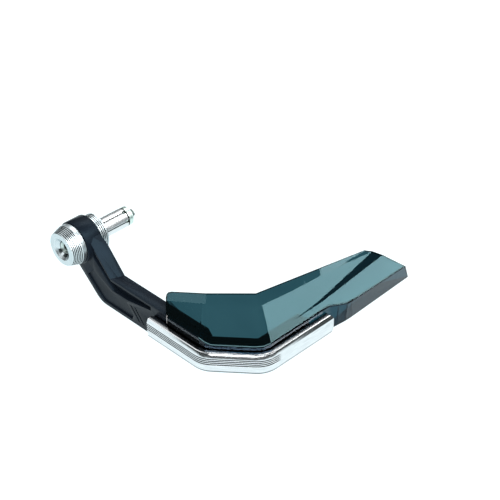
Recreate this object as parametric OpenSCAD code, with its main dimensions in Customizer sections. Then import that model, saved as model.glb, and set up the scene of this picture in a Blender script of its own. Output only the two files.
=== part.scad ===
// Bar-end lever guard for a motorcycle, left-hand or right-hand pattern by mirroring.
// +X runs inboard along the handlebar, -Y is forward and +Z is up.
// The origin lies on the bar's axis in the face that meets the end of the grip.

/* [Bar end] */
// Outer diameter of the sleeve that enters the handlebar
sleeve_d = 15; // [13.5:0.5:17]
// Length of the sleeve beyond the shoulder
sleeve_l = 24.6; // [20:0.2:32]
// Number of slots in the sleeve
slot_count = 6; // [3:1:6]
// Width of each slot
slot_w = 0.8; // [0.6:0.1:1.6]
// Length of the nut's collar beyond the sleeve
nut_l = 5.6; // [4:0.2:8]
// Diameter of the clamp bolt
bolt_d = 6; // [5:0.5:6]
// How far the bolt's tip stands out of the nut
bolt_tip_l = 3.4; // [1:0.2:6]
// Diameter of the inner flange
flange_d = 28.8; // [26:0.2:31]
// Width of the inner flange
flange_w = 7.2; // [6:0.2:10]
// Largest diameter of the end cap
cap_d = 31; // [28:0.5:33]
// Diameter of the cap's front face
cap_front_d = 26.2; // [24:0.2:27]
// Length of the end cap
cap_l = 11.8; // [11:0.2:15]
// Number of grooves around the end cap
cap_grooves = 6; // [3:1:6]
// Diameter of the cap's dish at the front
dish_d = 17.6; // [14:0.2:19]

/* [Arm] */
// Diameter of the arm's ring
ring_d = 33; // [32:0.5:38]
// Width of the arm's ring along the bar
ring_w = 14.6; // [13:0.2:18]
// Thickness of the arm's plate
arm_t = 10.3; // [8.5:0.1:10.8]
// Step from the ring's inboard face to the plate's inboard face
arm_step = 0.8; // [0.4:0.1:2]
// Height of the arm along its side run
arm_h = 27; // [25:0.5:31]
// How far the top of the side run lies below the bar's axis
arm_drop = 16.5; // [15.5:0.5:19]
// How far forward the arm's first bend lies
bend_reach = 39.2; // [36:0.2:44]
// How far forward the side run reaches, to its corner
side_reach = 135.1; // [130:0.1:145]
// Length of the slanted run between the corners
slant_l = 39.4; // [34:0.2:46]
// Angle through which the first corner turns
turn_1 = 40; // [36:1:44]
// Angle through which the second corner turns
turn_2 = 50; // [46:1:54]
// Length of the arm's front run after the second corner
front_l = 46; // [42:1:52]
// Height of the arm along the slanted and front runs
front_h = 17; // [15:0.5:18]
// Depth of the ribbed pocket in the arm's inboard side
pocket_depth = 5; // [2:0.5:6]
// Thickness of the pocket's ribs
rib_t = 1.1; // [0.8:0.1:1.6]
// Distance between neighbouring ribs
rib_pitch = 8.5; // [7:0.5:14]

/* [Trim] */
// Thickness of the trim strip
trim_t = 5.2; // [4.4:0.1:6]
// Height of the trim strip
trim_h = 16.5; // [15:0.5:18]
// How far the trim's top lies below the bar's axis
trim_drop = 22.4; // [21.5:0.1:23]
// How far forward the trim's rear end lies
trim_start = 82.8; // [78:0.2:88]
// Length of the trim's front run
trim_front_l = 62.4; // [58:0.2:70]
// Number of fine grooves along the trim
trim_grooves = 4; // [2:1:4]

/* [Shield] */
// Wall thickness of the shield
shield_t = 2; // [1.6:0.1:2.4]
// How far forward the shield's rear edge crosses the arm
shield_start = 97.4; // [95:0.2:101]
// Length of the shield from the second corner to its tip
shield_l = 140; // [125:1:155]
// How high the shield's folds stand above the arm
shield_rise = 17; // [14:0.5:20]
// How far the shield leans in over the arm at its folds
shield_lean = 30; // [26:0.5:34]
// Depth of the long wedge-shaped crease at the tip
crease_depth = 1.8; // [0.6:0.1:2]

/* [Screws] */
// Diameter of the two screws in the side run
side_screw_d = 3; // [2.5:0.1:3.5]
// Diameter of the two screws in the front run
front_screw_d = 4; // [3:0.1:4.5]
// How deep the screws reach into the trim
screw_bite = 3.4; // [2.5:0.1:4]

/* [Hidden] */
$fn = 96;
// Running clearance of a turned fit, and the gap on each side of the shield
fit = 0.1;
seat_gap = 0.3;
eps = 0.01;

// Places along the bar's axis
flange_x = -flange_w;
ring_x = flange_x - ring_w;
cap_x = ring_x - cap_l;
nut_x = sleeve_l + 0.8;
nut_end = nut_x + nut_l;

// Bolt, spigots and the bore that they share
bolt_hole_d = bolt_d + 0.4;
head_d = bolt_d + 4;
head_h = bolt_d;
socket_af = bolt_d - 1;
head_bore_d = head_d + 0.6;
spigot_d = head_bore_d + 3;
spigot_l = ring_w/2 - 0.5;
dish_depth = (dish_d - head_bore_d)/2*0.9;
head_seat = dish_depth + head_h;
sleeve_base = 5;
sleeve_bore_d = bolt_d + 3.2;
taper_l = 8;
cone_end_d = sleeve_d - 2.6;
sleeve_root_d = sleeve_d - 1.2;
slot_turn = 25;

// Arm: the seat line is its outboard face, which the shield and the trim follow
plate_x = flange_x - arm_step;
seat_x = plate_x - arm_t;
arm_top = -arm_drop;
arm_bottom = arm_top - arm_h;
front_top = arm_top - 4;
front_bottom = front_top - front_h;
screw_z = front_top - 10;
corner_r = arm_t + 0.7;
// Courses of the three runs; the side run points straight forward
course_side = -90;
course_slant = course_side + turn_1;
course_front = course_slant + turn_2;
corner_1 = [seat_x, -side_reach];
corner_2 = corner_1 + slant_l*fwd(course_slant);
tangent_1 = corner_r*tan(turn_1/2);
tangent_2 = corner_r*tan(turn_2/2);

// Gap between the arm and the trim that holds the shield
web_in = seat_gap;
web_out = web_in + shield_t;
trim_in = web_out + seat_gap;
trim_out = trim_in + trim_t;
trim_top = -trim_drop;
trim_bottom = trim_top - trim_h;
trim_pad_end = shield_start - 0.6;
shield_x = corner_2.x + shield_l;

// Places of the screws, as distances along their runs
side_screw_y = [-(trim_start + 3.2*side_screw_d), -(side_reach - 1.5*arm_t)];
front_screw_x = [corner_2.x + 0.24*front_l, corner_2.x + 0.78*front_l];

// Unit vectors forward along a heading and out to its right
function fwd(h) = [cos(h), sin(h)];
function out(h) = [sin(h), -cos(h)];
function unit(v) = v/norm(v);
function mix(a, b, f) = a + (b - a)*f;

// Points of a round corner of radius r at b, between its neighbours a and c
function corner(a, b, c, r, n = 6) =
    let (
        u = unit(a - b),
        v = unit(c - b),
        half = acos(u*v)/2,
        centre = b + unit(u + v)*r/sin(half),
        p = b + u*r/tan(half) - centre,
        turn = 180 - 2*half,
        side = sign(u.x*v.y - u.y*v.x)
    )
    [for (k = [0:n])
        let (t = -side*turn*k/n)
        centre + [p.x*cos(t) - p.y*sin(t), p.x*sin(t) + p.y*cos(t)]];

// Outline through points [x, y, r], with each corner rounded by its r
function rounded(pts) =
    let (m = len(pts))
    [for (i = [0:m - 1])
        let (
            a = pts[(i + m - 1) % m],
            b = pts[i],
            c = pts[(i + 1) % m]
        )
        each b[2] > 0 ? corner([a.x, a.y], [b.x, b.y], [c.x, c.y], b[2]) : [[b.x, b.y]]];

// Touching point on a circle of radius r about the origin, seen from point p
function touch(p, r, side) =
    let (a = atan2(p.y, p.x) + side*acos(r/norm(p)))
    [r*cos(a), r*sin(a)];

// A turned piece whose profile is given as [radius, distance along +X]
module turned(x) {
    translate([x, 0, 0])
        rotate([0, 90, 0])
            rotate_extrude()
                children();
}

// A side outline in [y, z], as thick as t from x inboard
module side_plate(x, t) {
    translate([x, 0, 0])
        rotate([90, 0, 90])
            linear_extrude(t)
                children();
}

// A section in [out, z], run straight for a length l
module straight(p, h, l) {
    translate([p.x, p.y, 0])
        rotate([0, 0, h - 90])
            translate([0, l, 0])
                rotate([90, 0, 0])
                    linear_extrude(l)
                        children();
}
// Points of grooves cut into a rim that runs from a to b
function groove_points(a, b, first, pitch, n, w, depth) =
    let (
        along = unit(b - a),
        inward = [-along.y, along.x]
    )
    [for (i = [0:n - 1])
        let (
            s = a + along*(first + i*pitch),
            e = s + along*w
        )
        each [s, s + inward*depth, e + inward*depth, e]];

// End weight: grooved cone, plain band, dished front and a spigot for the arm's ring
module end_cap() {
    r_front = cap_front_d/2;
    r_back = cap_d/2;
    band_x = cap_l - 3.4;
    chamfer = 0.5;
    a = [r_front, chamfer];
    b = [r_back, band_x];
    color("silver")
        turned(cap_x)
            polygon(concat(
                [[dish_d/2, 0], [r_front - chamfer, 0], a],
                groove_points(a, b, 0.5, 1.25, cap_grooves, 0.65, 0.8),
                [b,
                 [r_back, cap_l - 0.4],
                 [r_back - 0.4, cap_l],
                 [spigot_d/2, cap_l],
                 [spigot_d/2, cap_l + spigot_l],
                 [bolt_hole_d/2, cap_l + spigot_l],
                 [bolt_hole_d/2, head_seat],
                 [head_bore_d/2, head_seat],
                 [head_bore_d/2, dish_depth]]));
}

// Long socket-head cap screw that draws the nut into the sleeve
module clamp_bolt() {
    tip_x = nut_end + bolt_tip_l;
    seat = cap_x + head_seat;
    shank_l = tip_x - seat;
    socket_face = 1.3 - head_h;
    tip_d = bolt_d - 0.8;
    color("dimgray")
        difference() {
            turned(seat)
                polygon([[0, socket_face], [socket_af/2 + 0.4, socket_face], [head_d/2 - 0.3, -head_h],
                         [head_d/2, -head_h + 0.4], [head_d/2, 0], [bolt_d/2, 0],
                         [bolt_d/2, shank_l - bolt_tip_l + 0.2], [tip_d/2, shank_l - bolt_tip_l + 0.2],
                         [tip_d/2, shank_l - 0.6], [tip_d/2 - 0.6, shank_l], [0, shank_l]]);
            translate([seat - head_h, 0, 0])
                rotate([0, 90, 0])
                    cylinder(d = socket_af/cos(30), h = head_h*0.75, $fn = 6);
        }
}

// Collar between the arm and the grip's end, with a stepped rim and a dished face
module inner_flange() {
    r = flange_d/2;
    neck = sleeve_d/2 + 1.1;
    seat = flange_w - sleeve_base;
    a = [r, 0.6];
    b = [r, flange_w - 0.6];
    color("silver")
        turned(flange_x)
            polygon(concat(
                [[bolt_hole_d/2, -spigot_l], [spigot_d/2, -spigot_l], [spigot_d/2, 0], [r - 0.6, 0], a],
                groove_points(a, b, 1.2, 1.5, 3, 0.65, 0.7),
                [b,
                 [r - 0.6, flange_w],
                 [r - 2.2, flange_w],
                 [r - 2.2, flange_w - 0.5],
                 [r - 3.1, flange_w - 0.5],
                 [neck, flange_w - 2.2],
                 [neck, flange_w - 1.2],
                 [sleeve_root_d/2 + fit, flange_w - 1.2],
                 [sleeve_root_d/2 + fit, seat],
                 [bolt_hole_d/2, seat]]));
}

// Slotted sleeve that spreads against the handlebar's bore
module expansion_sleeve() {
    total = sleeve_base + sleeve_l;
    mouth_w = slot_w + 1.9;
    mouth_l = 2.6;
    color("lightgray")
        difference() {
            turned(-sleeve_base)
                polygon([[sleeve_bore_d/2, 0], [sleeve_root_d/2, 0], [sleeve_root_d/2, sleeve_base],
                         [sleeve_d/2, sleeve_base], [sleeve_d/2, total - 0.4],
                         [sleeve_d/2 - 0.4, total], [cone_end_d/2, total],
                         [sleeve_bore_d/2, total - taper_l]]);
            for (i = [0:slot_count - 1])
                rotate([slot_turn + i*360/slot_count, 0, 0])
                    translate([0, 0, sleeve_d/2]) {
                        translate([1.5, -slot_w/2, -sleeve_d/2 + bolt_d/2])
                            cube([sleeve_l, slot_w, sleeve_d]);
                        translate([sleeve_l - mouth_l, -mouth_w/2, -sleeve_d/2 + bolt_d/2])
                            cube([mouth_l + 1, mouth_w, sleeve_d]);
                    }
        }
}

// Tapered nut that spreads the sleeve as the bolt is tightened
module cone_nut() {
    r = sleeve_d/2 - 0.2;
    taper = (cone_end_d - sleeve_bore_d)/2/taper_l;
    back = taper_l - 0.6;
    lead = nut_x - sleeve_l;
    color("honeydew")
        turned(nut_x)
            polygon([[bolt_d/2 + 0.05, -lead - back],
                     [cone_end_d/2 - fit - taper*back, -lead - back],
                     [cone_end_d/2 - fit, -lead],
                     [cone_end_d/2 - fit, 0],
                     [r, 0],
                     [r, nut_l - 2.2],
                     [r - 1.3, nut_l - 0.9],
                     [bolt_d/2 + 1.6, nut_l],
                     [bolt_d/2 + 0.05, nut_l]]);
}

// Lower bend of the arm, and where the two edges of the drop leave the ring
low_bend = [-bend_reach*0.55, arm_bottom];
drop_foot = touch(low_bend, ring_d/2, 1);
drop_head = [-ring_d/2*0.76, ring_d/2*0.58];
kink = [-bend_reach*0.6, ring_d/2*0.08];
run_end = -(side_reach - tangent_1);

// Slope and length of the drop behind the first bend, whose top face falls outboard
drop_slope = atan((kink.y - arm_top)/(kink.x + bend_reach));
drop_l = norm([kink.x + bend_reach, kink.y - arm_top]);
top_fall = 17;

// Side outline of the arm from the ring to its first corner, all in [y, z]
arm_outline = rounded([
    [0, 0, 0],
    [drop_head.x, drop_head.y, 0],
    [kink.x, kink.y, 1.5],
    [-bend_reach, arm_top, 0],
    [run_end + 4, arm_top, 1],
    [run_end, front_top, 0],
    [run_end, front_bottom, 0],
    [run_end + 4, arm_bottom, 2],
    [low_bend.x, low_bend.y, 14],
    [drop_foot.x, drop_foot.y, 0]]);

// Upper channel of the outboard face, which ends ahead of the trim
channel_depth = 3.6;
channel_w = 8;
channel_outline = rounded([
    [-ring_d/2 - 0.5, 0.5, 0],
    [-bend_reach*0.9, arm_top - 1.8, 1],
    [-trim_start + 4, arm_top - 1.8, 0],
    [-trim_start + 4, arm_top - 5, 0],
    [-bend_reach*1.35, arm_top - 1.6 - channel_w, 0],
    [-bend_reach*0.95, arm_top - 1.6 - channel_w, 2],
    [-bend_reach*0.62, -13, 1],
    [-17.5, -7, 0]]);

// Shallow recessed panel below the channel
panel_depth = 1.3;
panel_outline = rounded([
    [-bend_reach*0.41, arm_top - 1.5, 1],
    [-bend_reach*0.9, arm_top - channel_w - 3.4, 3],
    [-bend_reach*1.32, arm_top - channel_w - 3.4, 1],
    [-bend_reach*1.5, arm_bottom + 7, 1],
    [-bend_reach*1.45, arm_bottom + 2.4, 1],
    [-bend_reach*0.62, arm_bottom + 2.4, 10],
    [-bend_reach*0.2, arm_top - 9, 1]]);

// Two plain slanted grooves ahead of the panel
mark_w = 1.4;
mark_pitch = 4.6;
mark_outline = [
    [-bend_reach*1.32 - 4, arm_top - channel_w - 4],
    [-bend_reach*1.32 - 4 - mark_w, arm_top - channel_w - 4],
    [-bend_reach*1.32 - 13 - mark_w, arm_bottom + 4],
    [-bend_reach*1.32 - 13, arm_bottom + 4]];

// Pocket of the inboard side, and the round pads that carry the screws' heads
pocket_outline = rounded([
    [-ring_d/2 - 4, -3.5, 1],
    [-bend_reach*0.66, -4.5, 2],
    [-bend_reach - 0.5, arm_top - 2.4, 1],
    [run_end + 9, arm_top - 2.4, 2],
    [run_end + 9, arm_bottom + 2.4, 2],
    [low_bend.x - 1, arm_bottom + 2.4, 12],
    [-ring_d*0.26, -ring_d*0.62, 2]]);
pad_r = side_screw_d + 1.4;

module lattice() {
    span = side_reach;
    n = ceil(span/rib_pitch);
    for (side = [-1, 1])
        for (i = [-n:n])
            translate([-span/2 + i*rib_pitch*1.6, arm_top - arm_h/2])
                rotate(side*32)
                    square([span, rib_t], center = true);
    for (y = side_screw_y)
        translate([y, screw_z])
            circle(r = pad_r);
}

// Stations of the arm's cranked front as [point, heading], from inside the side run
crank_inset = 0.05;
crank_stations = concat(
    [[[seat_x, run_end + 3], course_side]],
    [for (f = [0:0.25:1]) [arc_point(corner_1, course_side, turn_1, f), course_side + turn_1*f]],
    [for (f = [0:0.25:1]) [arc_point(corner_2, course_slant, turn_2, f), course_slant + turn_2*f]],
    [[corner_2 + [front_l, 0], course_front]]);

// Slanted and front runs of the arm, with softened edges and a pointed end
module crank() {
    u_out = -crank_inset;
    u_in = crank_inset - arm_t;
    top = front_top;
    low = front_bottom;
    outer_section = [[u_out - 1, top], [u_out, top - 1], [u_out, low + 1], [u_out - 1, low]];
    inner_section = [[u_in + 0.8, top], [u_in, top - 0.8], [u_in, low + 0.8], [u_in + 0.8, low]];
    difference() {
        skin([for (s = crank_stations) [for (q = outer_section) beside(s[0], s[1], q)]],
             [for (s = crank_stations) [for (q = inner_section) beside(s[0], s[1], q)]]);
        translate([corner_2.x, corner_2.y + 2*arm_t, 0])
            rotate([90, 0, 0])
                linear_extrude(4*arm_t)
                    difference() {
                        translate([front_l - 12, front_bottom - 2])
                            square([20, front_h + 4]);
                        polygon(rounded([
                            [front_l - 14, front_top + 1, 0],
                            [front_l - 14, front_bottom - 1, 0],
                            [front_l - 7, front_bottom - 1, 2],
                            [front_l - 0.5, screw_z, 2],
                            [front_l - 3, front_top + 1, 0]]));
                    }
    }
}

// One moulding: ring, drop, side run and the cranked front that carries the shield
module arm() {
    color("darkslategray")
        difference() {
            union() {
                turned(ring_x)
                    polygon([[0, 0], [ring_d/2 - 0.6, 0], [ring_d/2, 0.6], [ring_d/2, ring_w - 0.6],
                             [ring_d/2 - 0.6, ring_w], [0, ring_w]]);
                difference() {
                    side_plate(seat_x, arm_t)
                        polygon(arm_outline);
                    translate([plate_x + 0.8, kink.x, kink.y])
                        rotate([drop_slope, 0, 0])
                            rotate([0, -top_fall, 0])
                                translate([-2*arm_t, -drop_l - 1, 0])
                                    cube([4*arm_t, drop_l + ring_d, ring_d]);
                }
                side_plate(seat_x, arm_t)
                    polygon([[-0.86*bend_reach, arm_top], [-1.5*bend_reach, arm_top],
                             [-1.5*bend_reach, arm_top - arm_h/3], [-0.86*bend_reach, arm_top - arm_h/3]]);
                crank();
            }
            translate([ring_x - eps, 0, 0])
                rotate([0, 90, 0])
                    cylinder(d = spigot_d + 2*fit, h = ring_w + 2*eps);
            side_plate(seat_x - 1, channel_depth + 1)
                polygon(channel_outline);
            side_plate(seat_x - 1, panel_depth + 1)
                polygon(panel_outline);
            for (i = [0, 1])
                translate([0, -i*mark_pitch, 0])
                    side_plate(seat_x - 1, 0.7*panel_depth + 1)
                        polygon(mark_outline);
            side_plate(plate_x - pocket_depth, pocket_depth + 1)
                difference() {
                    polygon(pocket_outline);
                    lattice();
                }
            for (y = side_screw_y)
                translate([seat_x - 1, y, screw_z])
                    rotate([0, 90, 0])
                        cylinder(d = side_screw_d + 0.3, h = arm_t + 2);
            for (x = front_screw_x)
                translate([x, corner_2.y - 1, screw_z])
                    rotate([-90, 0, 0])
                        cylinder(d = front_screw_d + 0.3, h = arm_t + 2);
        }
}

// Front of the trim's section from the top down, in [out, z]: bevel, fine grooves, lower bevel
function trim_front(depth) =
    let (
        band_top = trim_top - 3.2,
        band_low = trim_top - 9.6,
        pitch = (band_top - band_low)/(trim_grooves + 0.2)
    )
    concat(
        [[trim_out - 2, trim_top], [trim_out - 1.3, trim_top - 0.3], [trim_out, band_top]],
        [for (i = [0:trim_grooves - 1])
            let (z = band_top - 0.5 - i*pitch)
            each [[trim_out, z], [trim_out - depth, z - 0.25], [trim_out - depth, z - 0.6], [trim_out, z - 0.85]]],
        [[trim_out, band_low], [trim_out - 0.7, trim_bottom + 1.2], [trim_out - 1.9, trim_bottom]]);

// Stations of the trim as [point, heading, groove depth]; the grooves fade after the second corner
groove_depth = 0.85;
trim_stations = concat(
    [[[seat_x, -trim_start], course_side, groove_depth]],
    [for (f = [0:0.2:1]) [arc_point(corner_1, course_side, turn_1, f), course_side + turn_1*f, groove_depth]],
    [for (f = [0:0.2:1]) [arc_point(corner_2, course_slant, turn_2, f), course_slant + turn_2*f, groove_depth*(1 - f*0.4)]],
    [[corner_2 + [tangent_2 + 4, 0], course_front, 0.02], [corner_2 + [trim_front_l, 0], course_front, 0.02]]);

// Bumper strip around the front of the arm, with a pad at its rear and blind holes for the screws
module trim() {
    front = [for (s = trim_stations) [for (q = trim_front(s[2])) beside(s[0], s[1], q)]];
    rows = len(front[0]) - 1;
    back = [for (s = trim_stations)
        [for (j = [0:rows]) beside(s[0], s[1], [trim_in, trim_top - trim_h*j/rows])]];
    color("gainsboro")
        difference() {
            union() {
                skin(front, back);
                straight([seat_x, -trim_start - 0.4], course_side, trim_pad_end - trim_start - 0.4)
                    polygon([[fit, trim_top - 0.6], [trim_in + 0.9, trim_top - 0.6],
                             [trim_in + 0.9, trim_bottom + 0.6], [fit, trim_bottom + 0.6]]);
            }
            translate([corner_2.x, corner_2.y + 1, 0])
                rotate([90, 0, 0])
                    linear_extrude(4*arm_t)
                        difference() {
                            translate([trim_front_l - 12, trim_bottom - 2])
                                square([20, trim_h + 4]);
                            polygon(rounded([
                                [trim_front_l - 14, trim_top + 1, 0],
                                [trim_front_l - 14, trim_bottom - 3, 0],
                                [trim_front_l - 12, trim_bottom - 0.2, 0],
                                [trim_front_l - 0.4, trim_bottom + 1, 3],
                                [trim_front_l - 0.4, trim_top - 0.1, 4.5],
                                [trim_front_l - 12, trim_top + 1, 0]]));
                        }
            for (y = side_screw_y)
                translate([seat_x - trim_in - screw_bite, y, screw_z])
                    rotate([0, 90, 0])
                        cylinder(d = side_screw_d + 0.1, h = 2*screw_bite + trim_in);
            for (x = front_screw_x)
                translate([x, corner_2.y - trim_in - screw_bite, screw_z])
                    rotate([-90, 0, 0])
                        cylinder(d = front_screw_d + 0.1, h = 2*screw_bite + trim_in);
        }
}

// Shield: corners of its upper edge, as [x, y, z]
wing_top = [seat_x + 0.31*shield_lean, -shield_start + 0.413*shield_lean, arm_top + 0.618*shield_rise];
fold_1 = [corner_1.x + 0.713*shield_lean, corner_1.y + 0.71*shield_lean, arm_top + 1.03*shield_rise];
fold_2 = [corner_2.x + 0.687*shield_lean, corner_2.y + 0.923*shield_lean, arm_top + 0.982*shield_rise];
tip_top = [shield_x - 0.146*shield_l, corner_2.y + 0.507*shield_lean, arm_top + 0.53*shield_rise];
tip_mid = [shield_x - 0.066*shield_l, corner_2.y + 0.213*shield_lean, arm_top + 0.212*shield_rise];
tip_ridge = [shield_x, corner_2.y - 0.95*trim_out, trim_top + 1.1];
tip_knee = [shield_x + 0.049*shield_l, corner_2.y - 0.654*trim_out, trim_top - 0.824*trim_h];
tip_hem = [shield_x - 0.05*shield_l, corner_2.y + 0.433*shield_lean, trim_top - 1.455*trim_h];
crease_start = corner_2.x + 0.293*shield_l;

// Where the shield is folded along the seat line: [point, heading, foot, knee, hem]
// with the last three as [out, z]
foot_side = [web_out, arm_top + 1];
foot_front = [web_out, front_top + 2];
foot_free = [corner_2.y - tip_ridge.y, tip_ridge.z];
knee_side = [web_out, front_bottom + 1];
knee_front = [web_out, front_bottom - 2.3];
knee_free = [corner_2.y - tip_knee.y, knee_front.y + 1.2];
hem_side = [web_out, front_bottom - 1];
hem_slant = [web_out - 5.3, front_bottom - 4.6];
hem_front = [web_out - 8.3, front_bottom - 8.5];
hem_free = [web_out - 10.3, front_bottom - 9];

function arc_point(vertex, h, turn, f) =
    vertex - corner_r*tan(turn/2)*fwd(h) - corner_r*out(h) + corner_r*out(h + turn*f);

// A point of the shield beside the seat line
function beside(base, h, q) = [base.x + q[0]*out(h).x, base.y + q[0]*out(h).y, q[1]];

// One line down the shield: top, lip, both crease lines, foot, knee and hem
function line_down(top, foot, knee, hem, lip_w, up, low) =
    let (
        lip_f = lip_w/norm(foot - top),
        lip = mix(top, foot, lip_f) + [0, 0, lip_rise]
    )
    [top, lip, up, low, foot, knee, hem];
function crease_at(f, which) =
    let (
        start = [crease_start, corner_2.y + 0.9, arm_top + 0.3] + (which == 0 ? [0, 0.3, 0.3] : [0, 0, 0]),
        end = which == 0 ? mix(tip_top, tip_mid, 0.4) : tip_mid,
        lift = which == 0 ? crease_depth*0.6 : -crease_depth*0.4
    )
    mix(start, end, f) + [0, -lift*f*0.64, lift*f*0.77];

function on_panel(top, foot, f) = mix(top, foot, f);
function corner_line(base, h, top, foot, knee, hem, lip_w) =
    let (
        ft = beside(base, h, foot)
    )
    line_down(top, ft, beside(base, h, knee), beside(base, h, hem), lip_w,
              on_panel(top, ft, 0.84), on_panel(top, ft, 0.86));

lip_rise = 0.9;
edge_r = 2.5;
wing_r = 4;
wing_foot = beside([seat_x, -shield_start], course_side, foot_side);
wing_down = unit(wing_foot - wing_top);
edge_1 = unit(fold_1 - wing_top);
edge_2 = unit(fold_2 - fold_1);
edge_3 = unit(tip_top - fold_2);

shield_grid = [
    for (a = [0:30:90])
        corner_line([seat_x, -shield_start - wing_r*(1 - cos(a))], course_side,
                    wing_top + wing_r*(1 - sin(a))*wing_down + wing_r*(1 - cos(a))*edge_1,
                    foot_side, knee_side, hem_side, 8 - wing_r*(1 - sin(a))),
    corner_line(arc_point(corner_1, course_side, turn_1, 0), course_side, fold_1 - edge_r*edge_1,
                foot_side, knee_side, hem_side, 9),
    corner_line(arc_point(corner_1, course_side, turn_1, 0.5), course_side + turn_1/2, fold_1,
                mix(foot_side, foot_front, 0.5), knee_front, mix(hem_side, hem_slant, 0.3), 9),
    corner_line(arc_point(corner_1, course_side, turn_1, 1), course_slant, fold_1 + edge_r*edge_2,
                foot_front, knee_front, hem_slant, 9),
    corner_line(arc_point(corner_2, course_slant, turn_2, 0), course_slant, fold_2 - edge_r*edge_2,
                foot_front, knee_front, hem_slant, 11),
    corner_line(arc_point(corner_2, course_slant, turn_2, 0.5), course_slant + turn_2/2, fold_2,
                foot_front, knee_front, mix(hem_slant, hem_front, 0.5), 11),
    corner_line(arc_point(corner_2, course_slant, turn_2, 1), course_front, fold_2 + edge_r*edge_3,
                foot_front, knee_front, hem_front, 11),
    free_line(0.5*trim_front_l, 0, 9.5),
    free_line(trim_front_l - 2, 0, 8.2),
    free_line(trim_front_l + 1, 0.02, 8),
    free_line(trim_front_l + 8, 0.5, 7.4),
    free_line(trim_front_l + 15, 0.94, 7),
    free_line(trim_front_l + 19, 1, 6.6),
    [tip_top, mix(tip_top, tip_mid, 0.1), crease_at(1, 0), crease_at(1, 1), tip_ridge, tip_knee, tip_hem]];

// A line of the front run, at a distance from the second corner; s is how far it has swung out
function free_line(distance, s, lip_w) =
    let (
        top = mix(fold_2, tip_top, distance/shield_l/1.12),
        x = corner_2.x + distance,
        foot_q = mix(foot_front, foot_free, s),
        knee_q = mix(knee_front, knee_free, s),
        hem_q = mix(hem_front, hem_free, s),
        base = [x, corner_2.y],
        foot = beside(base, course_front, foot_q),
        c = (x - crease_start)/(tip_mid.x - crease_start)
    )
    line_down(top, foot, beside(base, course_front, knee_q), beside(base, course_front, hem_q), lip_w,
              c > 0 ? crease_at(c, 0) : on_panel(top, foot, 0.84),
              c > 0 ? crease_at(c, 1) : on_panel(top, foot, 0.86));

// Thickness of the shield, taken square to its surface at each point of the grid
function grid_normal(g, i, j) =
    let (
        n = len(g) - 1,
        m = len(g[0]) - 1,
        along = g[min(i + 1, n)][j] - g[max(i - 1, 0)][j],
        down_a = j > 0 ? unit(g[i][j] - g[i][j - 1]) : unit(g[i][1] - g[i][0]),
        down_b = j < m ? unit(g[i][j + 1] - g[i][j]) : down_a
    )
    unit(unit(cross(down_a, along)) + unit(cross(down_b, along)));

function inner_point(g, i, j) = g[i][j] - shield_t*grid_normal(g, i, j);

module skin(outer, inner) {
    n = len(outer) - 1;
    m = len(outer[0]) - 1;
    w = m + 1;
    far = (n + 1)*w;
    quads = concat(
        [for (i = [0:n - 1], j = [0:m - 1])
            [i*w + j, (i + 1)*w + j, (i + 1)*w + j + 1, i*w + j + 1]],
        [for (i = [0:n - 1], j = [0:m - 1])
            [far + i*w + j, far + i*w + j + 1, far + (i + 1)*w + j + 1, far + (i + 1)*w + j]],
        [for (i = [0:n - 1])
            [(i + 1)*w, i*w, far + i*w, far + (i + 1)*w]],
        [for (i = [0:n - 1])
            [i*w + m, (i + 1)*w + m, far + (i + 1)*w + m, far + i*w + m]],
        [for (j = [0:m - 1])
            [j, j + 1, far + j + 1, far + j]],
        [for (j = [0:m - 1])
            [n*w + j + 1, n*w + j, far + n*w + j, far + n*w + j + 1]]);
    polyhedron(
        points = concat([for (line = outer) each line], [for (line = inner) each line]),
        faces = [for (q = quads) each [[q[0], q[1], q[2]], [q[0], q[2], q[3]]]]);
}

// Smoked deflector: one folded sheet held between the arm and the trim
module shield() {
    n = len(shield_grid) - 1;
    m = len(shield_grid[0]) - 1;
    inner = [for (i = [0:n]) [for (j = [0:m]) inner_point(shield_grid, i, j)]];
    color("cadetblue")
        difference() {
            skin(shield_grid, inner);
            translate([seat_x - 2*trim_in, side_screw_y[1], screw_z])
                rotate([0, 90, 0])
                    cylinder(d = side_screw_d + 0.3, h = 3*trim_in);
            for (x = front_screw_x)
                translate([x, corner_2.y - 2*trim_in, screw_z])
                    rotate([-90, 0, 0])
                        cylinder(d = front_screw_d + 0.3, h = 3*trim_in);
        }
}

// A pan-head screw with a hex socket, its head's seat at the origin and its shank along -Z
module pan_screw(d, l, head, h) {
    difference() {
        union() {
            rotate_extrude()
                polygon([[0, 0], [head/2, 0], [head/2, h*0.45], [head/2*0.86, h*0.85], [head/2*0.6, h], [0, h]]);
            translate([0, 0, -l])
                cylinder(d = d, h = l + eps);
        }
        translate([0, 0, h*0.35])
            cylinder(d = d*0.62/cos(30), h = h, $fn = 6);
    }
}

// Two small screws through the side run
module arm_screws() {
    color("lightgray")
        for (y = side_screw_y)
            translate([plate_x, y, screw_z])
                rotate([0, 90, 0])
                    pan_screw(side_screw_d, arm_t + trim_in + screw_bite - 0.3, side_screw_d*1.8, side_screw_d*0.56);
}

// Two larger screws through the front run and the shield
module shield_screws() {
    color("lightgray")
        for (x = front_screw_x)
            translate([x, corner_2.y + arm_t, screw_z])
                rotate([-90, 0, 0])
                    pan_screw(front_screw_d, arm_t + trim_in + screw_bite - 0.3, front_screw_d*1.9, front_screw_d*0.65);
}

end_cap();
clamp_bolt();
inner_flange();
expansion_sleeve();
cone_nut();
arm();
shield();
trim();
arm_screws();
shield_screws();
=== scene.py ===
"""Looks of a bar-end lever guard: materials, fine details, floor, light and camera around its CAD model."""

import math

import bmesh
import bpy
from mathutils import Matrix, Vector


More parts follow.
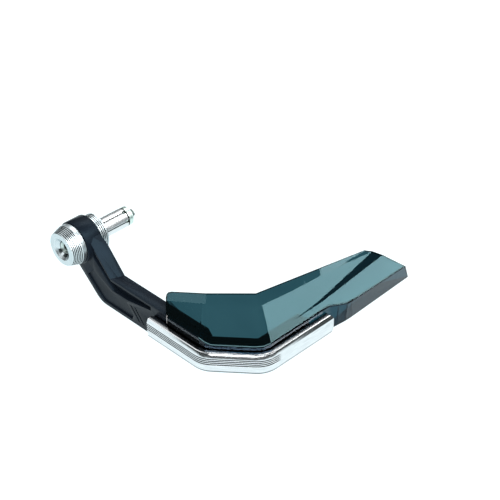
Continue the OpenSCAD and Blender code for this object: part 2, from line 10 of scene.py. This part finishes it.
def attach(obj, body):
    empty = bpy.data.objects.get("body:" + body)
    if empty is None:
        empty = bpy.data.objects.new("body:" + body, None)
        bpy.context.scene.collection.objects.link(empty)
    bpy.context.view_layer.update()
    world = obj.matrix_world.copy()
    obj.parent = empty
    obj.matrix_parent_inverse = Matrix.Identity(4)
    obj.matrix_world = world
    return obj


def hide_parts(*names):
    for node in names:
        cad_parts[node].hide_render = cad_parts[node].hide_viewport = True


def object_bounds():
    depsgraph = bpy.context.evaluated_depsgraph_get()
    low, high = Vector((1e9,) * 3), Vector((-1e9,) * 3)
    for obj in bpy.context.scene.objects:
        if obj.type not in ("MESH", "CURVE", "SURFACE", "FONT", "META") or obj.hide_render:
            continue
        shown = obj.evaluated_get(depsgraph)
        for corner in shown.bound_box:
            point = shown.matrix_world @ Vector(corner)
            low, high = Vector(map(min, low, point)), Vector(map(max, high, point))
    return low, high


MM = 0.001
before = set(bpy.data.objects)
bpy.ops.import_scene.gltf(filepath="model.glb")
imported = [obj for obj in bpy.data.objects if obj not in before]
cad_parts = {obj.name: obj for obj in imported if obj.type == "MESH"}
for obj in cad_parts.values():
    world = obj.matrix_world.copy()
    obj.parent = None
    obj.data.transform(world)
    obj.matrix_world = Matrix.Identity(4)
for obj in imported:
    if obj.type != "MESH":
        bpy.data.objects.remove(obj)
cad_box = [list(corner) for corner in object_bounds()]
ground_z = cad_box[0][2]


def linear(hex_colour):
    """The linear colour that the renderer works in, from an sRGB hex value."""
    parts = [int(hex_colour[i:i + 2], 16) / 255 for i in (1, 3, 5)]
    return tuple(c / 12.92 if c <= 0.04045 else ((c + 0.055) / 1.055) ** 2.4 for c in parts) + (1.0,)


def fill(tree, node, values):
    """Gives sockets of a node their values, or links them to outputs of other nodes."""
    for name, value in values.items():
        socket = node.inputs[name]
        if isinstance(value, bpy.types.NodeSocket):
            tree.links.new(value, socket)
        else:
            socket.default_value = value


def add(tree, kind, values=None, stops=(), **settings):
    """Adds a node with its settings, links and colour stops, and returns its outputs."""
    node = tree.nodes.new("ShaderNode" + kind)
    for name, value in settings.items():
        setattr(node, name, value)
    fill(tree, node, values or {})
    for _ in stops[2:]:
        node.color_ramp.elements.new(0.5)
    for i, (position, hex_colour) in enumerate(stops):
        node.color_ramp.elements[i].position = position
        node.color_ramp.elements[i].color = linear(hex_colour)
    return node.outputs


def new_material(name):
    """An empty material; returns it with its node tree and its shader."""
    material = bpy.data.materials.new(name)
    material.use_nodes = True
    tree = material.node_tree
    return material, tree, tree.nodes["Principled BSDF"]


# Materials, with sizes of patterns, depths of bumps and reaches in millimetres

# Colour of the shade painted into the grooves and inner corners of metal
GROOVE_PAINTED_SHADE = "#0c0f10"


def painted_corner_shade(tree, open_colour, painted_shade_colour, reach, dark=0.66, light=0.95):
    """Paints shade into grooves and inner corners, darkening the colour where little open sky reaches, so
    that each edge reads as a line.
    """
    open_sky = add(tree, "AmbientOcclusion", {"Distance": reach * MM}, samples=8)["AO"]
    fade = add(tree, "MapRange", {"Value": open_sky, "From Min": dark, "From Max": light})["Result"]
    return add(tree, "Mix", {"Factor": fade, "A": linear(painted_shade_colour), "B": open_colour},
               data_type="RGBA")["Result"]


# Bores and dishes are polished up to the first radius, to this share of the roughness. The plain turned
# finish starts at the second.
POLISHED_TO, TURNED_FROM = 6.6, 7.2
POLISH = 0.35


def turned_aluminium(name, colours, roughness, mark_size, mark_depth, anisotropy):
    """Bare aluminium off a lathe: rings of tool marks about the bar's axis draw each light into a band.

    The feed of a fine cut leaves a mark each 0.05 to 0.1 mm. They are drawn 0.16 mm apart or more, so that
    they show in a close view.
    """
    material, tree, shader = new_material(name)
    where = add(tree, "TexCoord")["Object"]
    along = add(tree, "SeparateXYZ", {"Vector": where})["X"]
    off_axis = add(tree, "VectorMath", {0: where, 1: (0.0, 1.0, 1.0)}, operation="MULTIPLY")["Vector"]
    radius = add(tree, "VectorMath", {0: off_axis}, operation="LENGTH")["Value"]
    lathe = add(tree, "CombineXYZ", {
        "X": add(tree, "Math", {0: radius, 1: along}, operation="ADD")["Value"],
        "Y": add(tree, "Math", {0: radius, 1: 0.6}, operation="MULTIPLY")["Value"]})["Vector"]
    marks = add(tree, "TexNoise", {"Vector": lathe, "Scale": 1 / (mark_size * MM),
                                   "Detail": 4.0, "Roughness": 0.6})["Fac"]
    # Finger marks, about 6 mm across, that dull the shine here and there
    smudge = add(tree, "TexNoise", {"Vector": where, "Scale": 1 / (6.0 * MM), "Detail": 2.0})["Fac"]
    worn = add(tree, "MapRange", {"Value": smudge, "To Min": roughness,
                                  "To Max": roughness + 0.08})["Result"]
    polish = add(tree, "MapRange", {"Value": radius,
                                    "From Min": POLISHED_TO * MM, "From Max": TURNED_FROM * MM,
                                    "To Min": POLISH, "To Max": 1.0})["Result"]
    tone = add(tree, "ValToRGB", {"Fac": marks}, stops=((0.25, colours[0]), (0.75, colours[1])))["Color"]
    # The base colour carries painted shade in the grooves and inner corners
    fill(tree, shader, {
        "Base Color": painted_corner_shade(tree, tone, GROOVE_PAINTED_SHADE, reach=1.2),
        "Metallic": 1.0,
        "Roughness": add(tree, "Math", {0: worn, 1: polish}, operation="MULTIPLY")["Value"],
        "Anisotropic": anisotropy,
        "Tangent": add(tree, "Tangent", direction_type="RADIAL", axis="X")["Tangent"],
        "Normal": add(tree, "Bump", {"Height": marks, "Distance": mark_depth * MM,
                                     "Strength": 0.5})["Normal"]})
    return material


def plated_steel(name, dark, light, roughness):
    """Plated or bright steel: blotches about 2 mm across make its shine a little cloudy."""
    material, tree, shader = new_material(name)
    where = add(tree, "TexCoord")["Object"]
    cloud = add(tree, "TexNoise", {"Vector": where, "Scale": 1 / (2.2 * MM),
                                   "Detail": 4.0, "Roughness": 0.6})["Fac"]
    tone = add(tree, "ValToRGB", {"Fac": cloud}, stops=((0.3, dark), (0.7, light)))["Color"]
    # The base colour carries painted shade in the grooves and inner corners
    fill(tree, shader, {
        "Base Color": painted_corner_shade(tree, tone, GROOVE_PAINTED_SHADE, reach=1.6),
        "Metallic": 1.0,
        "Roughness": add(tree, "MapRange", {"Value": cloud, "To Min": roughness,
                                            "To Max": roughness + 0.12})["Result"],
        "Normal": add(tree, "Bump", {"Height": cloud, "Distance": 0.01 * MM, "Strength": 0.3})["Normal"]})
    return material


def moulded_nylon():
    """Black glass-filled nylon from a spark-eroded mould: a satin skin whose grain breaks up its shine.

    Such a grain is 0.1 to 0.2 mm wide. It is drawn at 0.35 mm, so that it shows in a close view. The melt's
    flow leaves paler and darker streaks of about 14 by 40 mm.
    """
    material, tree, shader = new_material("black glass-filled nylon, moulded satin")
    where = add(tree, "TexCoord")["Object"]
    grain = add(tree, "TexNoise", {"Vector": where, "Scale": 1 / (0.35 * MM),
                                   "Detail": 4.0, "Roughness": 0.65})["Fac"]
    drawn_out = add(tree, "Mapping", {"Vector": where, "Scale": (0.35, 0.35, 1.0)})["Vector"]
    flow = add(tree, "TexNoise", {"Vector": drawn_out, "Scale": 1 / (14.0 * MM), "Detail": 3.0})["Fac"]
    tone = add(tree, "ValToRGB", {"Fac": flow}, stops=((0.3, "#090d12"), (0.7, "#10161e")))["Color"]
    # A weak, cool mirror: at its full strength the bright table would wash out the black
    fill(tree, shader, {
        "Base Color": tone,
        "Roughness": add(tree, "MapRange", {"Value": flow, "To Min": 0.3, "To Max": 0.4})["Result"],
        "IOR": 1.53,
        "Specular IOR Level": 0.11,
        "Specular Tint": linear("#a4cfe8"),
        "Normal": add(tree, "Bump", {"Height": grain, "Distance": 0.02 * MM, "Strength": 0.45})["Normal"]})
    return material


# The light lost per metre of the smoked sheet is its density times one minus its colour
SMOKE_COLOUR = "#279ba8"
SMOKE_DENSITY = 1540.0

# By how level a face lies, 0 upright and 1 flat: the painted colour of its mirror, a painted reflection,
# and painted shade on what it lets through, set by the face's slope.
STEEP_PAINTED_REFLECTION = ((0.45, "#41698a"), (0.72, "#a6dbe2"))
STEEP_PAINTED_SHADE = ((0.45, "#a8c8d4"), (0.72, "#4c5a60"), (0.79, "#ffffff"))
# Painted shade for the sheet's rounded edges, by how level each face lies
EDGE_PAINTED_SHADE = ((0.45, "#33434b"), (0.79, "#6a7a80"))


def smoked_sheet(name, level_colours, steep_painted_shade):
    """Smoked polycarbonate, moulded glossy: it shows the arm behind it, and shade painted by slope makes it
    darker where it is steep.

    The mould leaves slow waves of 26 mm, and the smoke varies a little over 40 mm.
    """
    material, tree, shader = new_material(name)
    where = add(tree, "TexCoord")["Object"]
    wave = add(tree, "TexNoise", {"Vector": where, "Scale": 1 / (26.0 * MM), "Detail": 1.0})["Fac"]
    drift = add(tree, "TexNoise", {"Vector": where, "Scale": 1 / (40.0 * MM), "Detail": 1.0})["Fac"]
    up = add(tree, "SeparateXYZ", {"Vector": add(tree, "NewGeometry")["True Normal"]})["Z"]
    level = add(tree, "Math", {0: up}, operation="ABSOLUTE")["Value"]
    level_tone = add(tree, "ValToRGB", {"Fac": drift},
                     stops=((0.3, level_colours[0]), (0.7, level_colours[1])))["Color"]
    steep_shade_tone = add(tree, "ValToRGB", {"Fac": level}, stops=steep_painted_shade)["Color"]
    # Base colour: the smoke's random drift times shade painted by the face's slope; the mirror's tint by
    # slope is a painted reflection
    fill(tree, shader, {
        "Base Color": add(tree, "Mix", {"Factor": 1.0, "A": level_tone, "B": steep_shade_tone},
                          data_type="RGBA", blend_type="MULTIPLY")["Result"],
        "Transmission Weight": 1.0,
        "Roughness": 0.02,
        "IOR": 1.58,
        "Specular Tint": add(tree, "ValToRGB", {"Fac": level}, stops=STEEP_PAINTED_REFLECTION)["Color"],
        "Normal": add(tree, "Bump", {"Height": wave, "Distance": 0.05 * MM, "Strength": 0.3})["Normal"]})
    smoke = add(tree, "VolumeAbsorption", {"Color": linear(SMOKE_COLOUR),
                                           "Density": SMOKE_DENSITY})["Volume"]
    fill(tree, tree.nodes["Material Output"], {"Volume": smoke})
    return material


# Height up to which the strip's lower edge is painted darker as a thin line of shade, and where the bright
# face starts
PAINTED_SHADE_TO, BRIGHT_FROM = -37.05, -36.65


def brushed_strip():
    """Aluminium strip, brushed along its length: level hairlines keep its long highlights soft and even.

    Brushing leaves lines of 0.05 to 0.1 mm. They are drawn 0.35 mm high and 12 mm long, so that they show
    in a close view.
    """
    material, tree, shader = new_material("bright aluminium, brushed strip")
    where = add(tree, "TexCoord")["Object"]
    drawn_out = add(tree, "Mapping", {"Vector": where, "Scale": (0.03, 0.03, 1.0)})["Vector"]
    hairlines = add(tree, "TexNoise", {"Vector": drawn_out, "Scale": 1 / (0.35 * MM),
                                       "Detail": 5.0, "Roughness": 0.6})["Fac"]
    # Handling dulls patches of about 18 mm
    patch = add(tree, "TexNoise", {"Vector": where, "Scale": 1 / (18.0 * MM), "Detail": 2.0})["Fac"]
    tone = add(tree, "ValToRGB", {"Fac": hairlines}, stops=((0.3, "#c6cacd"), (0.7, "#e4e7e9")))["Color"]
    # A thin line of painted shade, a darker colour by height, along the strip's lower edge
    height = add(tree, "SeparateXYZ", {"Vector": where})["Z"]
    above_painted_shade = add(tree, "MapRange", {"Value": height, "From Min": PAINTED_SHADE_TO * MM,
                                       "From Max": BRIGHT_FROM * MM})["Result"]
    with_painted_edge_shade = add(tree, "Mix", {"Factor": above_painted_shade, "A": linear("#5d656b"), "B": tone},
                   data_type="RGBA")["Result"]
    # The base colour carries painted shade in the strip's grooves and inner corners
    fill(tree, shader, {
        "Base Color": painted_corner_shade(tree, with_painted_edge_shade, "#07090a", reach=1.6, dark=0.78, light=0.97),
        "Metallic": 1.0,
        "Roughness": add(tree, "MapRange", {"Value": patch, "To Min": 0.15, "To Max": 0.21})["Result"],
        "Normal": add(tree, "Bump", {"Height": hairlines, "Distance": 0.01 * MM,
                                     "Strength": 0.35})["Normal"]})
    return material


turned = turned_aluminium("aluminium, fine turned on the lathe", ("#b4c0c4", "#d0dadd"),
                          roughness=0.27, mark_size=0.16, mark_depth=0.003, anisotropy=0.7)
# The sleeve is cut faster, so its marks are wider and its bands less drawn out
sleeve_metal = turned_aluminium("aluminium, turned and slotted sleeve", ("#c6cacc", "#e2e5e6"),
                                roughness=0.26, mark_size=0.22, mark_depth=0.008, anisotropy=0.4)
# Clear zinc has a cold, faintly green cast
zinc = plated_steel("steel nut, clear zinc plate", "#b9cfc8", "#dcebe5", roughness=0.28)
bolt_steel = plated_steel("alloy steel screw, zinc plate", "#a9b8b4", "#cfdcd8", roughness=0.26)
# Stainless steel is greyer and shinier
screw_steel = plated_steel("stainless steel screw", "#b4b8bc", "#d5d8da", roughness=0.24)
nylon = moulded_nylon()
smoked = smoked_sheet("smoked polycarbonate, glossy moulded sheet", ("#b4c6c9", "#c4d3d5"), STEEP_PAINTED_SHADE)
# The rounded edges get a darker copy of the sheet, a painted dark outline of shade where one looks into the
# sheet's whole width
smoked_edge_painted_shade = smoked_sheet("smoked polycarbonate, rounded edge", ("#10171b", "#182024"), EDGE_PAINTED_SHADE)
strip_metal = brushed_strip()

FINISH = {
    "end_cap": turned,
    "inner_flange": turned,
    "expansion_sleeve": sleeve_metal,
    "cone_nut": zinc,
    "clamp_bolt": bolt_steel,
    "arm": nylon,
    "shield": smoked,
    "trim": strip_metal,
    "arm_screws": screw_steel,
    "shield_screws": screw_steel,
}
for name, material in FINISH.items():
    for material_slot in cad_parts[name].material_slots:
        material_slot.material = material


# Pieces shaped here, in millimetres on the CAD model's axes


def new_piece(shape, name, material):
    """Turns a bmesh into a piece that belongs to the guard."""
    mesh = bpy.data.meshes.new(name)
    shape.to_mesh(mesh)
    shape.free()
    mesh.materials.append(material)
    piece = bpy.data.objects.new(name, mesh)
    bpy.context.scene.collection.objects.link(piece)
    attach(piece, "root")
    return piece


# Points of a solid closer than the first are one, and faces that meet at less than the second are one
SAME_POINT = 0.002
FLAT_DEGREES = 0.6


def soften(node, name, material, width, angle=14, smooth=True, edge=None):
    """Shows a CAD node's solid with its sharp edges rounded off; edge is a material for those alone."""
    shape = bmesh.new()
    shape.from_mesh(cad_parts[node].data)
    bmesh.ops.remove_doubles(shape, verts=shape.verts, dist=SAME_POINT * MM)
    bmesh.ops.dissolve_limit(shape, angle_limit=math.radians(FLAT_DEGREES),
                             verts=shape.verts, edges=shape.edges)
    piece = new_piece(shape, name, material)
    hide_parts(node)
    for face in piece.data.polygons:
        face.use_smooth = smooth
    rounding = piece.modifiers.new("rounded edges", "BEVEL")
    rounding.width = width * MM
    rounding.segments = 2
    rounding.limit_method = "ANGLE"
    rounding.angle_limit = math.radians(angle)
    rounding.harden_normals = smooth
    if edge:
        piece.data.materials.append(edge)
        rounding.material = 1
        rounding.use_clamp_overlap = False


soften("arm", "arm_moulding", nylon, width=0.45)
# The shield's rounded edges carry the dark copy of the sheet, a painted outline of shade
soften("shield", "shield_moulding", smoked, width=0.6,
       angle=35, smooth=False, edge=smoked_edge_painted_shade)
soften("trim", "trim_strip", strip_metal, width=0.12)

# Corners on the sloped face of the arm's drop where the ribs' pockets run thin, and that face's direction
SKIN_CORNERS = (
    (-12.97, -30.59, -9.38),
    (-10.73, -31.49, -9.38),
    (-10.60, -38.31, -17.06),
    (-13.80, -37.37, -17.47))
SKIN_FACE = Vector((-0.29237, -0.71794, 0.63173))
SKIN_TOP, SKIN_THICK = 0.03, 0.8


def arm_skin():
    """The wall under the drop's sloped face, over the pockets between the ribs."""
    shape = bmesh.new()
    upper, lower = (
        [shape.verts.new((Vector(corner) - SKIN_FACE * depth) * MM) for corner in SKIN_CORNERS]
        for depth in (SKIN_TOP, SKIN_TOP + SKIN_THICK))
    for j in range(4):
        shape.faces.new((upper[j], upper[(j + 1) % 4], lower[(j + 1) % 4], lower[j]))
    shape.faces.new(upper)
    shape.faces.new(lower[::-1])
    bmesh.ops.recalc_face_normals(shape, faces=shape.faces)
    new_piece(shape, "arm_skin", nylon)


THREAD_START, THREAD_END, THREAD_PITCH = 31.3, 34.3, 0.8
THREAD_ROOT, THREAD_CREST = 2.45, 3.0
# Half of a ridge's width at its foot and at its flat crest
THREAD_FOOT, THREAD_FLAT = 0.38, 0.08
TURN_STEPS = 28
RUN_OUT_STEPS = 7


def bolt_thread():
    """The rolled thread that shows on the bolt's end beyond the nut, running out at both ends."""
    shape = bmesh.new()
    count = int((THREAD_END - THREAD_START - THREAD_PITCH) / THREAD_PITCH * TURN_STEPS)
    rings = []
    for i in range(count + 1):
        turn = 2 * math.pi * i / TURN_STEPS
        x = THREAD_START + THREAD_PITCH * (0.5 + i / TURN_STEPS)
        run_out = min(1.0, i / RUN_OUT_STEPS, (count - i) / RUN_OUT_STEPS)
        top = THREAD_ROOT + (THREAD_CREST - THREAD_ROOT) * run_out
        ridge = ((x - THREAD_FOOT, THREAD_ROOT), (x - THREAD_FLAT, top), (x + THREAD_FLAT, top),
                 (x + THREAD_FOOT, THREAD_ROOT))
        rings.append([shape.verts.new((along * MM, r * math.cos(turn) * MM, r * math.sin(turn) * MM))
                      for along, r in ridge])
    for before, after in zip(rings, rings[1:]):
        for j in range(4):
            shape.faces.new((before[j], before[(j + 1) % 4], after[(j + 1) % 4], after[j]))
    shape.faces.new(rings[0])
    shape.faces.new(rings[-1][::-1])
    bmesh.ops.recalc_face_normals(shape, faces=shape.faces)
    new_piece(shape, "bolt_thread", bolt_steel)


arm_skin()
bolt_thread()


# Floor, light and camera

# Side of the floor in metres, and its gap under the guard in millimetres
FLOOR_SIDE = 6.0
FLOOR_GAP = 0.2


def pale_floor():
    """An opal light table, matt and lit from below: no hard shadow, and a pale glow on what faces down."""
    bpy.ops.mesh.primitive_plane_add(size=FLOOR_SIDE, location=(0.0, 0.0, ground_z - FLOOR_GAP * MM))
    floor = bpy.context.object
    floor.name = "floor"
    material, tree, shader = new_material("opal acrylic light table, matt")
    # The matt face's specks are drawn at 1.5 mm, where real ones are far too fine to show
    specks = add(tree, "TexNoise", {"Vector": add(tree, "TexCoord")["Object"], "Scale": 1 / (1.5 * MM),
                                    "Detail": 3.0})["Fac"]
    tone = add(tree, "ValToRGB", {"Fac": specks}, stops=((0.3, "#3c3c3c"), (0.7, "#404040")))["Color"]
    fill(tree, shader, {
        "Base Color": tone,
        "Roughness": 0.9,
        "Emission Color": linear("#effcff"),
        "Emission Strength": 1.19})
    floor.data.materials.append(material)


# The room's light by how high one looks, 0 level and 1 straight up
ROOM = ((0.26, "#303535"), (0.46, "#55595a"))


def pale_room():
    """A dim ceiling over a dark wall, which the metal mirrors as dark lines, and a plain white backdrop."""
    world = bpy.data.worlds.new("pale room")
    bpy.context.scene.world = world
    world.use_nodes = True
    tree = world.node_tree
    height = add(tree, "SeparateXYZ", {"Vector": add(tree, "TexCoord")["Generated"]})["Z"]
    ray = add(tree, "LightPath")
    seen = add(tree, "Math", {0: ray["Is Camera Ray"], 1: ray["Is Transmission Ray"]},
               operation="MAXIMUM")["Value"]
    room = add(tree, "ValToRGB", {"Fac": height}, stops=ROOM)["Color"]
    colour = add(tree, "Mix", {"Factor": seen, "A": room, "B": linear("#ffffff")},
                 data_type="RGBA")["Result"]
    fill(tree, tree.nodes["Background"], {"Color": colour})


# What the lights aim at, and how far from it they stand, in metres
LIT_POINT = Vector((0.06, -0.08, -0.02))
LIGHT_DISTANCE = 2.0

# Azimuth and elevation of each light's middle, half its width and half its height, all in degrees, and
# its radiance
LIGHTS = {
    "panel light that the front of the shield mirrors": (67, 45.6, 21, 5.8, 5.9),
    "back light along the arm's top": (138, 34, 14, 13, 0.5),
    "high back light on the arm's ring": (122, 55, 13, 9, 5.0),
    "rear light over the turned parts": (-168, 48, 15, 24, 1.2),
    "side light on the dished face of the end weight": (-110, 29, 12, 10, 1.3),
    "front fill on the arm and the bumper strip": (-24, 46, 42, 22, 8.0),
}


def direction_at(azimuth, elevation):
    """The direction at an azimuth from straight ahead and an elevation, both in radians."""
    return Vector((math.sin(azimuth) * math.cos(elevation),
                   -math.cos(azimuth) * math.cos(elevation),
                   math.sin(elevation)))


def soft_light(name, azimuth, elevation, half_wide, half_tall, radiance):
    """A soft box, placed by how it is seen from the guard, with all angles in degrees."""
    direction = direction_at(math.radians(azimuth), math.radians(elevation))
    lamp = bpy.data.lights.new(name, "AREA")
    lamp.shape = "RECTANGLE"
    lamp.size = 2 * LIGHT_DISTANCE * math.tan(math.radians(half_wide))
    lamp.size_y = 2 * LIGHT_DISTANCE * math.tan(math.radians(half_tall))
    lamp.energy = radiance * math.pi * lamp.size * lamp.size_y
    holder = bpy.data.objects.new(name, lamp)
    holder.location = LIT_POINT + direction * LIGHT_DISTANCE
    holder.rotation_mode = "QUATERNION"
    holder.rotation_quaternion = (-direction).to_track_quat("-Z", "Y")
    bpy.context.scene.collection.objects.link(holder)


# Angles in degrees, and the lens and the sensor's width in millimetres
CAMERA_AZIMUTH, CAMERA_ELEVATION, CAMERA_ROLL = (math.radians(v) for v in (-44.05, 35.17, -1.08))
CAMERA_PLACE = Vector((-480.22, -657.61, 548.54)) * MM
LENS, SENSOR_WIDTH = 95.39, 36.0


def aim_camera():
    """The camera that the guard's own lines in the picture point back to."""
    back = direction_at(CAMERA_AZIMUTH, CAMERA_ELEVATION)
    side = Vector((math.cos(CAMERA_AZIMUTH), math.sin(CAMERA_AZIMUTH), 0.0))
    up = back.cross(side)
    x_axis = side * math.cos(CAMERA_ROLL) + up * math.sin(CAMERA_ROLL)
    y_axis = up * math.cos(CAMERA_ROLL) - side * math.sin(CAMERA_ROLL)
    lens = bpy.data.cameras.new("camera")
    lens.lens = LENS
    lens.sensor_width = SENSOR_WIDTH
    lens.clip_start = 0.01
    lens.clip_end = 20.0
    camera = bpy.data.objects.new("camera", lens)
    turn = Matrix((x_axis, y_axis, back)).transposed().to_4x4()
    camera.matrix_world = Matrix.Translation(CAMERA_PLACE) @ turn
    bpy.context.scene.collection.objects.link(camera)
    bpy.context.scene.camera = camera


pale_floor()
pale_room()
for name, placing in LIGHTS.items():
    soft_light(name, *placing)
aim_camera()
# Plain sRGB keeps the backdrop white and the materials' colours as they are named
bpy.context.scene.view_settings.view_transform = "Standard"
